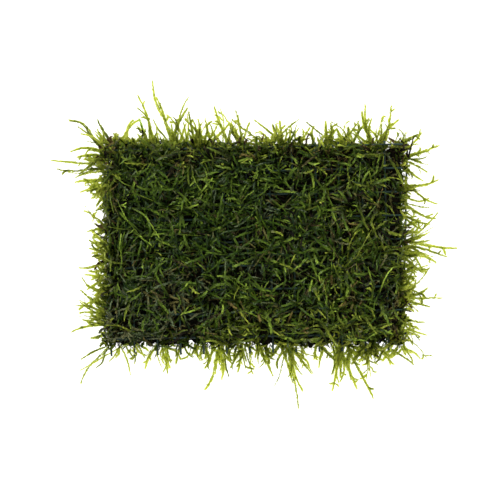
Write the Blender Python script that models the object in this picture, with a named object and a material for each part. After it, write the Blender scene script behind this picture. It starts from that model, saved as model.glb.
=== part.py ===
"""A mat of aquarium moss between two cut sheets of coated welded wire mesh.

The mat lies on its back: +X is its long side, +Y its short side and +Z points out of its front.
Lengths are in metres, except in the lists of fringe fronds, which are in millimetres.
"""

import math
import random

import bmesh
import bpy
from mathutils import Matrix, Vector

MM = 0.001

# The welded mesh has half-inch cells, a little longer across the mat than along it.
COLUMN_PITCH = 0.0127
ROW_PITCH = 0.01298
WIRE_THICKNESS = 0.0012
WIRE_SIDES = 4
WELD_DEPTH = 0.0004

# The body of the mat, without its fringe, and where its middle lies.
BODY_LENGTH = 0.1656
BODY_WIDTH = 0.1140
BODY_CENTRE = Vector((0.0005, -0.0015, 0.0))

# Each sheet: its middle on the body, its turn, its wires, its cut edges on the body, its underside.
BACK_SHEET = {
    "centre": Vector((0.0008, 0.0052, 0.0)),
    "turn": math.radians(-1.3),
    "columns": 14,
    "rows": 9,
    "edges": {"left": -0.0828, "right": 0.0840, "bottom": -0.0515, "top": 0.0578},
    "underside": 0.0003,
}
FRONT_SHEET = {
    "centre": Vector((-0.0037, 0.0030, 0.0)),
    "turn": math.radians(1.2),
    "columns": 13,
    "rows": 9,
    "edges": {"left": -0.0828, "right": 0.0825, "bottom": -0.0582, "top": 0.0570},
    "underside": 0.0063,
}

# The felt of old moss between the sheets.
FELT_UNDERSIDE = 0.0026
FELT_TOP = 0.0060
FELT_EDGES = {"left": -0.0815, "right": 0.0822, "bottom": -0.0545, "top": 0.0562}
FELT_STEP = 0.0120
FELT_WAVE = 0.0012

# A tuft pushes up through each cell of the front sheet.
TUFT_FOOT_HALF = 0.0049
TUFT_FOOT_HEIGHT = 0.0050
TUFT_SHOULDER_HALF = (0.0034, 0.0054)
TUFT_SHOULDER_HEIGHT = (0.0086, 0.0102)
TUFT_CROWN_DRIFT = 0.0015
TUFT_CROWN_HEIGHT = (0.0105, 0.0128)

# A pad of moss presses down through every fourth cell of the back sheet, flat just above the
# surface that the mat lies on. Three pads, named by their row and column, end in a tip that
# stands on it.
PAD_HALF = 0.0049
PAD_SPACING = 2
TIPPED_PADS = ((0, 0), (0, 6), (3, 3))
PAD_CLEARANCE = 0.0003

# Fronds lean out of some of the tufts.
FROND_RADIUS = 0.0008
LEANING_SHARE = 0.60
LEANING_LENGTH = (0.009, 0.018)
LEANING_RISE = (0.0025, 0.0070)

# Fronds of the fringe leave the felt between the two sheets, level until they are past the wires.
FRINGE_ROOT_DEPTH = 0.0045
FRINGE_ROOT_HEIGHT = (0.0038, 0.0047)
FRINGE_TIP_HEIGHT = (0.0014, 0.0100)
FRINGE_LEVEL_SHARE = 0.45
FRINGE_SHORT = 0.009

# The fringe along each side of the body. Each frond, in millimetres: where it leaves the side,
# where its tip is along that side, how far the tip stands out, and how far its middle bows.
TOP_FRINGE = (
    (-62, -62, 9, 0), (-58, -63, 13, 0), (-55, -64, 26, 1.5), (-52, -60, 18, -1),
    (-43, -56, 34, -1), (-42, -49, 11, 0), (-42, -37, 19, -4), (-35, -48, 16, 1),
    (-34, -36, 17, 1), (-28, -31, 13, 0), (-25, -27, 13, 1), (-30, -14, 11, 0),
    (-15, -22, 20, 1), (-6, -17, 16, 1), (-8, -10, 18, 1.5), (10, -12, 13, 1),
    (10, 3, 7, 2), (14, 10, 10, 1), (17, 14, 12, -1), (22, 23, 10, 0),
    (34, 31, 6, 0), (38, 39, 12, 1), (43, 42, 11, 0), (35, 45, 8, 0),
    (47, 57, 12, -1), (50, 61, 11, 0), (68, 59, 17, -1), (64, 61, 21, -1),
    (66, 70, 14, 0), (68, 75, 20, 1.5), (75, 80, 6, 0), (79, 83, 6, 0),
)
RIGHT_FRINGE = (
    (57, 62, 7, 0), (50, 63, 9, -1.5), (50, 56, 18, -1), (49, 42, 12, 1),
    (46, 37, 10, 0.5), (35, 37, 18, -2), (39, 24, 17, -1), (29, 31, 8, 1),
    (27, 16, 16, -1.5), (20, 13, 13, -1), (4, 19, 18, -4), (9, 14, 7, 0),
    (4, -0.5, 28, -0.5), (2, -5, 22, 1), (-2, -8, 17, 1), (-10, -13, 10, 1),
    (-14, -10, 12, -1), (-15, -16, 6, 0), (-17, -28, 12, -1), (-30, -28, 20, 1),
    (-28, -23, 12, -1), (-28, -35, 7, 1.5), (-40, -45, 8, 0), (-46, -49, 8, 0.5),
    (-47, -61, 12, 2),
)
BOTTOM_FRINGE = (
    (65, 76, 7, 0), (50, 65, 25, 0), (46, 56, 20, 0), (48, 43, 21, 0),
    (44, 47, 14, 1), (35, 46, 7, 0), (52, 51, 10, 0), (63, 62, 15, 0),
    (61, 54, 7, 0), (34, 33, 4, 0), (26, 28, 5, -0.5), (19, 24, 31, -0.5),
    (20, 26, 21, -2), (13, 21, 17, 1), (19, 31, 12, 0), (2, 10, 13, -0.5),
    (-5, -1, 12, 0.5), (-7, -9, 11, 0.5), (-7, -13, 9, 0.5), (6, 8, 7, 0),
    (-19, -27, 21, 1.5), (-24, -16, 10, 0), (-18, -18, 15, 0.5), (-28, -27, 9, 2),
    (-33, -31, 3.5, 0), (-51, -48, 12, 0), (-50, -47, 9, 0), (-41, -43, 7, 0),
    (-64, -66, 6, 0), (-53, -60, 9, -1),
)
LEFT_FRINGE = (
    (52, 66, 14, -1), (51, 53, 18, 2.5), (49, 50, 14, 1.5), (44, 48, 29, 0.5),
    (43, 43, 25, 0), (42, 39, 15, 1), (37, 36, 15, 0.5), (34, 31, 9, 0),
    (29, 30, 7, 0), (22, 35, 7, 0), (10, 22, 10, -2), (9, 9, 9, 1),
    (0.5, 3, 5, 0), (-9, -3, 5, 0), (-13, -13, 8, 0.5), (-18, -15, 10, 0),
    (-17, -23, 9, 1), (-27, -21, 9, 0), (-30, -31, 10, 0.5), (-37, -29, 13, -1),
    (-35, -32, 15, 0), (-36, -36, 13, 0), (-38, -40, 11, 0), (-43, -46, 17, 1.5),
    (-47, -50, 7, 0),
)
RIGHTWARD = Vector((1, 0, 0))
UPWARD = Vector((0, 1, 0))
# Each side of the body: its fringe, the way along it, and the way from the middle out to it.
SIDES = (
    (TOP_FRINGE, RIGHTWARD, UPWARD * (BODY_WIDTH / 2)),
    (RIGHT_FRINGE, UPWARD, RIGHTWARD * (BODY_LENGTH / 2)),
    (BOTTOM_FRINGE, RIGHTWARD, -UPWARD * (BODY_WIDTH / 2)),
    (LEFT_FRINGE, UPWARD, -RIGHTWARD * (BODY_LENGTH / 2)),
)

FELT_SEED = 20
CROWN_SEED = 21
TUFT_SEED = 22
LEANING_SEED = 23
FRINGE_SEED = 24


def clear_scene():
    for thing in list(bpy.data.objects):
        bpy.data.objects.remove(thing, do_unlink=True)


def new_collection(name):
    collection = bpy.data.collections.new(name)
    bpy.context.scene.collection.children.link(collection)
    return collection


def new_material(name, colour, roughness, metallic=0.0):
    material = bpy.data.materials.new(name)
    material.use_nodes = True
    shader = material.node_tree.nodes["Principled BSDF"]
    shader.inputs["Base Color"].default_value = (*colour, 1.0)
    shader.inputs["Roughness"].default_value = roughness
    shader.inputs["Metallic"].default_value = metallic
    return material


def new_object(name, bm, collection, material):
    """Makes an object of a bmesh, with its faces pointing out."""
    bmesh.ops.recalc_face_normals(bm, faces=bm.faces)
    mesh = bpy.data.meshes.new(name)
    bm.to_mesh(mesh)
    bm.free()
    mesh.materials.append(material)
    thing = bpy.data.objects.new(name, mesh)
    collection.objects.link(thing)
    return thing


def object_of_curve(name, curve, collection, material):
    """Makes a curve's solid a mesh object, with its caps welded on."""
    drawn = bpy.data.objects.new(name, curve)
    collection.objects.link(drawn)
    evaluated = drawn.evaluated_get(bpy.context.evaluated_depsgraph_get())
    solid = bpy.data.meshes.new_from_object(evaluated)
    bpy.data.objects.remove(drawn, do_unlink=True)
    bm = bmesh.new()
    bm.from_mesh(solid)
    bpy.data.meshes.remove(solid)
    bmesh.ops.remove_doubles(bm, verts=bm.verts, dist=0.01 * MM)
    return new_object(name, bm, collection, material)


def join(thing, guide, overlapping_itself=False):
    """Joins a closed shape to an object, and keeps that shape as a hidden guide."""
    union = thing.modifiers.new(f"join {guide.name}", "BOOLEAN")
    union.operation = "UNION"
    union.solver = "EXACT"
    union.use_self = overlapping_itself
    union.object = guide
    guide.hide_render = True
    guide.display_type = "WIRE"


def place_on_sheet(thing, sheet):
    thing.location = BODY_CENTRE + sheet["centre"]
    thing.rotation_euler.z = sheet["turn"]


# The two sheets of wire mesh


def spaced(count, pitch):
    """Places of so many wires, a pitch apart, about the middle of their sheet."""
    return [(index - (count - 1) / 2) * pitch for index in range(count)]


def add_wire(bm, start, end):
    """A straight four-sided wire with cut ends, whose edges point up, down and sideways."""
    way = (end - start).normalized()
    up = Vector((0, 0, 1))
    axes = Matrix((up, way.cross(up), way)).transposed().to_4x4()
    bmesh.ops.create_cone(
        bm,
        cap_ends=True,
        segments=WIRE_SIDES,
        radius1=WIRE_THICKNESS / 2,
        radius2=WIRE_THICKNESS / 2,
        depth=(end - start).length,
        matrix=Matrix.Translation((start + end) / 2) @ axes,
    )


def make_sheet(name, sheet, collection, guides, material):
    """A sheet of mesh, whose rows lie on its columns and are welded a little into them."""
    middle, edges = sheet["centre"], sheet["edges"]
    column_height = sheet["underside"] + WIRE_THICKNESS / 2
    row_height = column_height + WIRE_THICKNESS - WELD_DEPTH
    columns, rows = bmesh.new(), bmesh.new()
    for x in spaced(sheet["columns"], COLUMN_PITCH):
        bottom, top = edges["bottom"] - middle.y, edges["top"] - middle.y
        add_wire(columns, Vector((x, bottom, column_height)), Vector((x, top, column_height)))
    for y in spaced(sheet["rows"], ROW_PITCH):
        left, right = edges["left"] - middle.x, edges["right"] - middle.x
        add_wire(rows, Vector((left, y, row_height)), Vector((right, y, row_height)))
    thing = new_object(name, columns, collection, material)
    across = new_object(f"{name}_rows", rows, guides, material)
    place_on_sheet(thing, sheet)
    place_on_sheet(across, sheet)
    join(thing, across)


# The moss


def felt_outline():
    """Points round the felt, a step apart, each in or out by a little."""
    chance = random.Random(FELT_SEED)
    left, right = FELT_EDGES["left"], FELT_EDGES["right"]
    bottom, top = FELT_EDGES["bottom"], FELT_EDGES["top"]
    corners = [Vector(at) for at in ((left, bottom), (right, bottom), (right, top), (left, top))]
    points = []
    for index, corner in enumerate(corners):
        side = corners[(index + 1) % len(corners)] - corner
        outward = Vector((side.y, -side.x)).normalized()
        steps = round(side.length / FELT_STEP)
        for step in range(steps):
            wave = chance.uniform(-FELT_WAVE, FELT_WAVE)
            points.append(corner + side * (step / steps) + outward * wave)
    return points


def make_felt(name, collection, material):
    curve = bpy.data.curves.new(name, "CURVE")
    curve.dimensions = "2D"
    curve.fill_mode = "BOTH"
    curve.extrude = (FELT_TOP - FELT_UNDERSIDE) / 2
    points = felt_outline()
    outline = curve.splines.new("POLY")
    outline.points.add(len(points) - 1)
    for point, place in zip(outline.points, points):
        point.co = (*place, 0, 1)
    outline.use_cyclic_u = True
    felt = object_of_curve(name, curve, collection, material)
    felt.location = BODY_CENTRE + Vector((0, 0, (FELT_TOP + FELT_UNDERSIDE) / 2))
    return felt


def cells(sheet):
    """The middle of each cell, as lists of one row each."""
    columns = spaced(sheet["columns"], COLUMN_PITCH)[:-1]
    rows = spaced(sheet["rows"], ROW_PITCH)[:-1]
    half_cell = Vector((COLUMN_PITCH / 2, ROW_PITCH / 2, 0))
    return [[Vector((x, y, 0)) + half_cell for x in columns] for y in rows]


def vigour(place):
    """How strongly the moss grows: fully on the left and in the middle, less at the right."""
    return 1.0 - 0.45 * max(0.0, place.x / (BODY_LENGTH / 2))


def between(limits, share):
    return limits[0] + (limits[1] - limits[0]) * share


def crowns():
    """The middle of each cell of the front sheet with the top of its tuft."""
    chance = random.Random(CROWN_SEED)
    found = []
    for centre in (centre for row in cells(FRONT_SHEET) for centre in row):
        drift_x = chance.uniform(-TUFT_CROWN_DRIFT, TUFT_CROWN_DRIFT)
        drift_y = chance.uniform(-TUFT_CROWN_DRIFT, TUFT_CROWN_DRIFT)
        height = between(TUFT_CROWN_HEIGHT, vigour(centre) * chance.random())
        found.append((centre, centre + Vector((drift_x, drift_y, height))))
    return found


def add_tuft(bm, centre, crown, chance):
    """A lump that fills one cell and spreads above its wires."""
    corners = bmesh.ops.create_cube(bm, size=2.0)["verts"]
    shoulder = [corner for corner in corners if corner.co.z > 0]
    for corner in corners:
        half_x, half_y, height = TUFT_FOOT_HALF, TUFT_FOOT_HALF, TUFT_FOOT_HEIGHT
        if corner in shoulder:
            half_x = chance.uniform(*TUFT_SHOULDER_HALF)
            half_y = chance.uniform(*TUFT_SHOULDER_HALF)
            height = chance.uniform(*TUFT_SHOULDER_HEIGHT)
        corner.co = centre + Vector((corner.co.x * half_x, corner.co.y * half_y, height))
    top = next(face for face in shoulder[0].link_faces if set(face.verts) == set(shoulder))
    bmesh.ops.poke(bm, faces=[top])["verts"][0].co = crown


def make_tufts(guides, material):
    chance = random.Random(TUFT_SEED)
    bm = bmesh.new()
    for centre, crown in crowns():
        add_tuft(bm, centre, crown, chance)
    tufts = new_object("moss_tufts", bm, guides, material)
    place_on_sheet(tufts, FRONT_SHEET)
    return tufts


def add_pad(bm, centre):
    """A lump through one cell of the back sheet, up into the felt. Gives its lowest face."""
    top = (FELT_UNDERSIDE + FELT_TOP) / 2
    middle = Matrix.Translation(centre + Vector((0, 0, (top + PAD_CLEARANCE) / 2)))
    size = Matrix.Diagonal((2 * PAD_HALF, 2 * PAD_HALF, top - PAD_CLEARANCE, 1))
    corners = bmesh.ops.create_cube(bm, size=1.0, matrix=middle @ size)["verts"]
    faces = {face for corner in corners for face in corner.link_faces}
    return min(faces, key=lambda face: face.calc_center_median().z)


def make_pads(guides, material):
    """Lumps through cells of the back sheet, three of them with a tip at the height z = 0."""
    bm = bmesh.new()
    for row, centres in enumerate(cells(BACK_SHEET)[::PAD_SPACING]):
        for column, centre in enumerate(centres[::PAD_SPACING]):
            pad = add_pad(bm, centre)
            if (row, column) in TIPPED_PADS:
                bmesh.ops.poke(bm, faces=[pad])["verts"][0].co = centre
    pads = new_object("moss_pads", bm, guides, material)
    place_on_sheet(pads, BACK_SHEET)
    return pads


def frond_profile(guides):
    """The three-sided cross-section that every frond has at its root."""
    curve = bpy.data.curves.new("frond_profile", "CURVE")
    curve.dimensions = "2D"
    triangle = curve.splines.new("POLY")
    triangle.points.add(2)
    for index, point in enumerate(triangle.points):
        angle = math.radians(90 - 120 * index)
        point.co = (FROND_RADIUS * math.cos(angle), FROND_RADIUS * math.sin(angle), 0, 1)
    triangle.use_cyclic_u = True
    profile = bpy.data.objects.new("frond_profile", curve)
    guides.objects.link(profile)
    profile.hide_render = True
    profile.display_type = "WIRE"
    return profile


def make_fronds(name, routes, profile, guides, material):
    """Fronds that follow their routes and taper to a point."""
    curve = bpy.data.curves.new(name, "CURVE")
    curve.dimensions = "3D"
    curve.bevel_mode = "OBJECT"
    curve.bevel_object = profile
    curve.use_fill_caps = True
    for route in routes:
        frond = curve.splines.new("POLY")
        frond.points.add(len(route) - 1)
        for index, (point, place) in enumerate(zip(frond.points, route)):
            point.co = (*place, 1)
            point.radius = 1.0 - (index / (len(route) - 1)) ** 2
    return object_of_curve(name, curve, guides, material)


def leaning_routes():
    """Routes of the fronds that lean out of the crowns of some tufts."""
    chance = random.Random(LEANING_SEED)
    routes = []
    for _, crown in crowns():
        if chance.random() < LEANING_SHARE * vigour(crown):
            angle = chance.uniform(0, 2 * math.pi)
            length = chance.uniform(*LEANING_LENGTH)
            rise = Vector((0, 0, chance.uniform(*LEANING_RISE)))
            lean = Vector((math.cos(angle), math.sin(angle), 0)) * length
            root = crown - Vector((0, 0, FROND_RADIUS))
            routes.append([root, root + lean * 0.5 + rise * 0.7, root + lean + rise])
    return routes


def fringe_route(frond, along, outward, chance):
    """From inside the felt, level past the cut wires, and then up or down to the tip."""
    root, tip, reach, bow = (value * MM for value in frond)
    root_height = chance.uniform(*FRINGE_ROOT_HEIGHT)
    tip_height = chance.uniform(*FRINGE_TIP_HEIGHT)
    if reach < FRINGE_SHORT:
        tip_height = root_height
    route = []
    for share in (0.0, FRINGE_LEVEL_SHARE, 1.0):
        out = (reach + FRINGE_ROOT_DEPTH) * share - FRINGE_ROOT_DEPTH
        place = root + (tip - root) * share + 4 * bow * share * (1 - share)
        height = tip_height if share == 1.0 else root_height
        route.append(outward + outward.normalized() * out + along * place + Vector((0, 0, height)))
    if reach < FRINGE_SHORT and bow == 0:
        del route[1]
    return route


def fringe_routes():
    chance = random.Random(FRINGE_SEED)
    return [
        fringe_route(frond, along, outward, chance)
        for fringe, along, outward in SIDES
        for frond in fringe
    ]


def make_moss(collection, guides, material):
    moss = make_felt("moss_mat", collection, material)
    profile = frond_profile(guides)
    leaning = make_fronds("moss_leaning_fronds", leaning_routes(), profile, guides, material)
    place_on_sheet(leaning, FRONT_SHEET)
    fringe = make_fronds("moss_fringe", fringe_routes(), profile, guides, material)
    fringe.location = BODY_CENTRE
    join(moss, make_tufts(guides, material))
    join(moss, make_pads(guides, material))
    join(moss, leaning, overlapping_itself=True)
    join(moss, fringe, overlapping_itself=True)


def main():
    clear_scene()
    parts = new_collection("moss_mat_on_mesh")
    guides = new_collection("guides")
    coated_wire = new_material("coated_wire", (0.020, 0.055, 0.050), 0.35)
    moss = new_material("moss", (0.090, 0.190, 0.020), 0.60)
    make_sheet("wire_mesh_back", BACK_SHEET, parts, guides, coated_wire)
    make_moss(parts, guides, moss)
    make_sheet("wire_mesh_front", FRONT_SHEET, parts, guides, coated_wire)


main()
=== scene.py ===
"""The looks of a mat of aquarium moss that grows between two cut sheets of coated wire mesh.

Every frond is a joined mesh of a thin stem and the small leaves that lie along it. Fronds are
described by arrays of routes, and all the fronds of one piece are made together. Lengths are in
metres, unless a comment says otherwise.
"""

import math
import random

import bpy
import numpy as np
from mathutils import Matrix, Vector


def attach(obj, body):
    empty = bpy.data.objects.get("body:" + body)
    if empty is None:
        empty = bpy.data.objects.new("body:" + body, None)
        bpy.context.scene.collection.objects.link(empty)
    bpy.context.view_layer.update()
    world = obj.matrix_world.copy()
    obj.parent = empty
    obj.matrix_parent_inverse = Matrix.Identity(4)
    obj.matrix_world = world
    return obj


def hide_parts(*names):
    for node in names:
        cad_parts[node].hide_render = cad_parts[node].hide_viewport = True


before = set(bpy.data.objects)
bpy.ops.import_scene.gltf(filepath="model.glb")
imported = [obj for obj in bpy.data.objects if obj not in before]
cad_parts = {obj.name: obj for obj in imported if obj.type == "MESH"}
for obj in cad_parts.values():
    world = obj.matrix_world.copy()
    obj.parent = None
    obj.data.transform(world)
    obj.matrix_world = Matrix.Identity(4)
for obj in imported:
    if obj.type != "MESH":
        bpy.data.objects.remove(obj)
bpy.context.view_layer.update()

MM = 0.001

# The construction, as the solids have it.
COLUMN_PITCH = 0.0127
ROW_PITCH = 0.01298
WIRE_THICKNESS = 0.0012
WELD_DEPTH = 0.0004
BODY_LENGTH = 0.1656
BODY_WIDTH = 0.1140
BODY_CENTRE = Vector((0.0005, -0.0015, 0.0))
BACK_SHEET = {
    "centre": Vector((0.0008, 0.0052, 0.0)),
    "turn": math.radians(-1.3),
    "columns": 14,
    "rows": 9,
    "edges": {"left": -0.0828, "right": 0.0840, "bottom": -0.0515, "top": 0.0578},
    "underside": 0.0003,
}
FRONT_SHEET = {
    "centre": Vector((-0.0037, 0.0030, 0.0)),
    "turn": math.radians(1.2),
    "columns": 13,
    "rows": 9,
    "edges": {"left": -0.0828, "right": 0.0825, "bottom": -0.0582, "top": 0.0570},
    "underside": 0.0063,
}
FELT_UNDERSIDE = 0.0026
FELT_TOP = 0.0060
THINNING_TO_RIGHT = 0.45
TUFT_CROWN_DRIFT = 0.0015
TUFT_CROWN_HEIGHT = (0.0105, 0.0128)
FROND_RADIUS = 0.0008
LEANING_SHARE = 0.60
LEANING_LENGTH = (0.009, 0.018)
LEANING_RISE = (0.0025, 0.0070)
FRINGE_ROOT_DEPTH = 0.0045
FRINGE_ROOT_HEIGHT = (0.0038, 0.0047)
FRINGE_TIP_HEIGHT = (0.0014, 0.0100)
FRINGE_LEVEL_SHARE = 0.45
FRINGE_SHORT = 0.009
CROWN_SEED = 21
LEANING_SEED = 23
FRINGE_SEED = 24

# The coat of the wires, how far they stray from straight, and the blobs of coat at their welds.
COAT_RADIUS = WIRE_THICKNESS / 2 * 0.96
COAT_UNEVENNESS = 0.025
CUT_END_SHARE = 0.72
WIRE_SWAY = 0.00006
WELD_RADII = np.array([0.00078, 0.00078, 0.00062])

# Where the felt and the lawn of fronds end, from the body's centre, how far fronds stray beyond the
# lawn's edges along each axis, and how much higher the moss reaches at its top left corner.
FELT_EDGES = {"left": -0.0815, "right": 0.0823, "bottom": -0.0545, "top": 0.0557}
LAWN_EDGES = {"left": -0.0820, "right": 0.0823, "bottom": -0.0502, "top": 0.0555}
LAWN_SLACK = (0.0006, 0.0013)
TOP_LEFT_RISE = 0.0028

# The fringe that the solids have. Each frond, in millimetres: where it leaves the side, where its
# tip is along that side, how far the tip stands out, and how far its middle bows.
TOP_FRINGE = (
    (-62, -62, 9, 0), (-58, -63, 13, 0), (-55, -64, 26, 1.5), (-52, -60, 18, -1),
    (-43, -56, 34, -1), (-42, -49, 11, 0), (-42, -37, 19, -4), (-35, -48, 16, 1),
    (-34, -36, 17, 1), (-28, -31, 13, 0), (-25, -27, 13, 1), (-30, -14, 11, 0),
    (-15, -22, 20, 1), (-6, -17, 16, 1), (-8, -10, 18, 1.5), (10, -12, 13, 1),
    (10, 3, 7, 2), (14, 10, 10, 1), (17, 14, 12, -1), (22, 23, 10, 0),
    (34, 31, 6, 0), (38, 39, 12, 1), (43, 42, 11, 0), (35, 45, 8, 0),
    (47, 57, 12, -1), (50, 61, 11, 0), (68, 59, 17, -1), (64, 61, 21, -1),
    (66, 70, 14, 0), (68, 75, 20, 1.5), (75, 80, 6, 0), (79, 83, 6, 0),
)
RIGHT_FRINGE = (
    (57, 62, 7, 0), (50, 63, 9, -1.5), (50, 56, 18, -1), (49, 42, 12, 1),
    (46, 37, 10, 0.5), (35, 37, 18, -2), (39, 24, 17, -1), (29, 31, 8, 1),
    (27, 16, 16, -1.5), (20, 13, 13, -1), (4, 19, 18, -4), (9, 14, 7, 0),
    (4, -0.5, 28, -0.5), (2, -5, 22, 1), (-2, -8, 17, 1), (-10, -13, 10, 1),
    (-14, -10, 12, -1), (-15, -16, 6, 0), (-17, -28, 12, -1), (-30, -28, 20, 1),
    (-28, -23, 12, -1), (-28, -35, 7, 1.5), (-40, -45, 8, 0), (-46, -49, 8, 0.5),
    (-47, -61, 12, 2),
)
BOTTOM_FRINGE = (
    (65, 76, 7, 0), (50, 65, 25, 0), (46, 56, 20, 0), (48, 43, 21, 0),
    (44, 47, 14, 1), (35, 46, 7, 0), (52, 51, 10, 0), (63, 62, 15, 0),
    (61, 54, 7, 0), (34, 33, 4, 0), (26, 28, 5, -0.5), (19, 24, 31, -0.5),
    (20, 26, 21, -2), (13, 21, 17, 1), (19, 31, 12, 0), (2, 10, 13, -0.5),
    (-5, -1, 12, 0.5), (-7, -9, 11, 0.5), (-7, -13, 9, 0.5), (6, 8, 7, 0),
    (-19, -27, 21, 1.5), (-24, -16, 10, 0), (-18, -18, 15, 0.5), (-28, -27, 9, 2),
    (-33, -31, 3.5, 0), (-51, -48, 12, 0), (-50, -47, 9, 0), (-41, -43, 7, 0),
    (-64, -66, 6, 0), (-53, -60, 9, -1),
)
LEFT_FRINGE = (
    (52, 66, 14, -1), (51, 53, 18, 2.5), (49, 50, 14, 1.5), (44, 48, 29, 0.5),
    (43, 43, 25, 0), (42, 39, 15, 1), (37, 36, 15, 0.5), (34, 31, 9, 0),
    (29, 30, 7, 0), (22, 35, 7, 0), (10, 22, 10, -2), (9, 9, 9, 1),
    (0.5, 3, 5, 0), (-9, -3, 5, 0), (-13, -13, 8, 0.5), (-18, -15, 10, 0),
    (-17, -23, 9, 1), (-27, -21, 9, 0), (-30, -31, 10, 0.5), (-37, -29, 13, -1),
    (-35, -32, 15, 0), (-36, -36, 13, 0), (-38, -40, 11, 0), (-43, -46, 17, 1.5),
    (-47, -50, 7, 0),
)

# Thinner fronds of the fringe, which the solids leave out, given in the same way.
TOP_WISPS = ((-36, -37, 16, 0), (-17, -19, 20, 1), (20, 27, 4, 0), (63, 61, 12, 0), (67, 75, 14, 1))
RIGHT_WISPS = ((48, 53, 13, 0), (2, -1, 13, 0), (4, 9, 7, 1), (-39, -42, 4, 0), (4, 11, 15, -2))
BOTTOM_WISPS = (
    (62, 67, 4, 0), (62, 64, 14, 0), (51, 63, 3, 0), (18, 32, 12, 0), (3, 6, 8, 0),
    (15, 9, 4, 0), (-8, -5, 9, 0), (-30, -29, 5, 0), (-10, -17, 6, 0), (-34, -37, 4, 0),
)
LEFT_WISPS = (
    (51, 46, 10, 0), (35, 34, 10, 0), (13, 12, 4, 0), (9, 7, 6, 0), (3, -1, 4, 0),
    (-18, -28, 5, 0), (-40, -38, 8, 0),
)
RIGHTWARD = Vector((1, 0, 0))
UPWARD = Vector((0, 1, 0))

# Each side: its fronds, its wisps, the way along it, the way out to it from the body's centre, how
# many short fronds and edge fronds a metre of it has, and how far a common edge frond reaches.
SIDES = (
    (TOP_FRINGE, TOP_WISPS, RIGHTWARD, UPWARD * (BODY_WIDTH / 2), 900, 700, 0.0044),
    (RIGHT_FRINGE, RIGHT_WISPS, UPWARD, RIGHTWARD * (BODY_LENGTH / 2), 430, 700, 0.0047),
    (BOTTOM_FRINGE, BOTTOM_WISPS, RIGHTWARD, -UPWARD * (BODY_WIDTH / 2), 340, 750, 0.0066),
    (LEFT_FRINGE, LEFT_WISPS, UPWARD, -RIGHTWARD * (BODY_LENGTH / 2), 650, 700, 0.0048),
)

# Bare stems that stand out, in millimetres from the body's centre: both ends, how far the middle
# bows to the left of the way between them, and how thick the stem is against a common frond's.
LONE_STEMS = (
    (84.4, 49.2, 87.4, 61.0, 0.2, 3.2), (81.5, 29.6, 90.6, 31.6, 0.8, 2.0),
    (-84, 6, -88, 9, 0.3, 2.0), (-80, 50, -87, 51, 1.5, 2.2), (-81, 8, -88, 13, -1.0, 2.0),
    (68, 66, 74.5, 77.3, -1.6, 0.8), (95.5, 51.5, 101.3, 55.8, 0.1, 0.7),
    (90.5, 62.5, 93.2, 59.5, 0.8, 0.6), (69.5, -56, 75.4, -63.5, 0.8, 0.7),
    (67, -56.5, 72.0, -60.5, -0.6, 0.6),
)

# What the front shows, in millimetres from the body's centre. Pits, where the moss is thin and
# dark, and patches of old brown moss: a centre and a radius. Lengths of the front sheet's rows that
# few fronds cover: the row, counted from the bottom, and both ends on it.
PITS = (
    (-60, 44, 4), (-26, 22, 5), (-63, 12, 5), (-13, 7, 4), (-20, 26, 3), (33, 36, 5), (71, 20, 5),
    (11, 22, 3), (38, -12, 4), (76, -23, 5), (-50, -22, 4), (-4, -30, 4), (52, 4, 3), (20, -44, 3),
    (60, -47, 4), (-70, -47, 4), (-5, 40, 3), (56, 43, 3),
)
WIRE_GLIMPSES = (
    (7, 6, 25), (7, 73, 81), (6, 6, 22), (5, 73, 80), (3, 33, 45), (2, 0, 20), (0, 18, 46),
    (0, -3, 12), (6, 70, 76), (4, -18, -8), (1, -38, -30), (0, -60, -28), (5, -40, -33),
)
OLD_PATCHES = (
    (-80, 50, 6), (-38, 45, 5), (81, 50, 6), (83, 7, 7), (-44, -28, 6), (-38, -48, 6), (1, -19, 8),
    (64, 56, 6), (74, -39, 7), (-81, 11, 6), (22, 57, 7), (-5, 57, 7), (-24, 57, 6), (18, 12, 5),
)

# Long fronds that lie over the others, in the same millimetres: the places of both ends, and how
# far the middle bows to the left of the way from the first end to the second.
LONG_FRONDS = (
    (-63, 48, -73, 46, -1.6), (-49, 44, -70, 46, -0.6), (-19, 48, -29, 46, -0.6),
    (-30, 39, -24, 33, 0.3), (-13, 29, -8, 22, 0.3), (-58, -19, -69, -24, 0.5),
    (-68, -24, -71, -39, 0.8), (-58, -34, -61, -45, -0.5), (-73, -12, -69, -16, 0),
    (-74, 10, -57, 2, 1.8), (-39, -19, -31, -25, 0), (-28, -26, -16, -20, 1.6),
    (-57, -25, -47, -36, 0.4), (-26, 8, -19, 11, 0), (-41, 23, -34, 22, -0.3),
    (4, 48, 1, 38, -1), (19, 52, 23, 46, 0), (22, 28, 27, 22, 0), (39, 36, 37, 26, 0.4),
    (42, 24, 44, 15, -0.6), (47, 22, 51, 10, -0.5), (57, 27, 62, 10, -1), (64, 15, 68, 5, -0.6),
    (71, 54, 81, 35, 0.3), (57, 31, 62, 41, 0.5), (60, 32, 73, 37, 0.8), (59, 34, 67, 42, 0.3),
    (64, 31, 76, 28, 0.6), (43, 46, 52, 45, 0.4), (52, 51, 59, 50, 0), (43, 4, 43, -6, 0.3),
    (32, -2, 34, -8, 0), (35, 4, 41, -1, -0.6), (6, 9, 15, 7, 0.6), (7, -5, 12, -8, -0.6),
    (16, -4, 17, -13, -0.5), (18, -15, 25, -10, 0.3), (27, -14, 33, -17, 0), (49, -11, 50, -26, 1),
    (32, -18, 35, -28, -0.5), (44, -32, 48, -41, -0.6), (73, -32, 69, -37, 0),
    (69, 14, 79, 7, -1.8), (74, -28, 80, -40, -0.6), (30, -37, 45, -54, 1.8),
)
TAN_FRONDS = (
    (-50, -26, -42, -28, 0.5), (-44, -28, -43, -36, -0.4), (-41, -26, -36, -30, 0.2),
    (-48, -31, -42, -30, 0.2), (1, -33, 3, -40, 0.3), (-16, -29, -10, -33, 0),
    (60, 25, 68, 22, 0.4),
)

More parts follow.
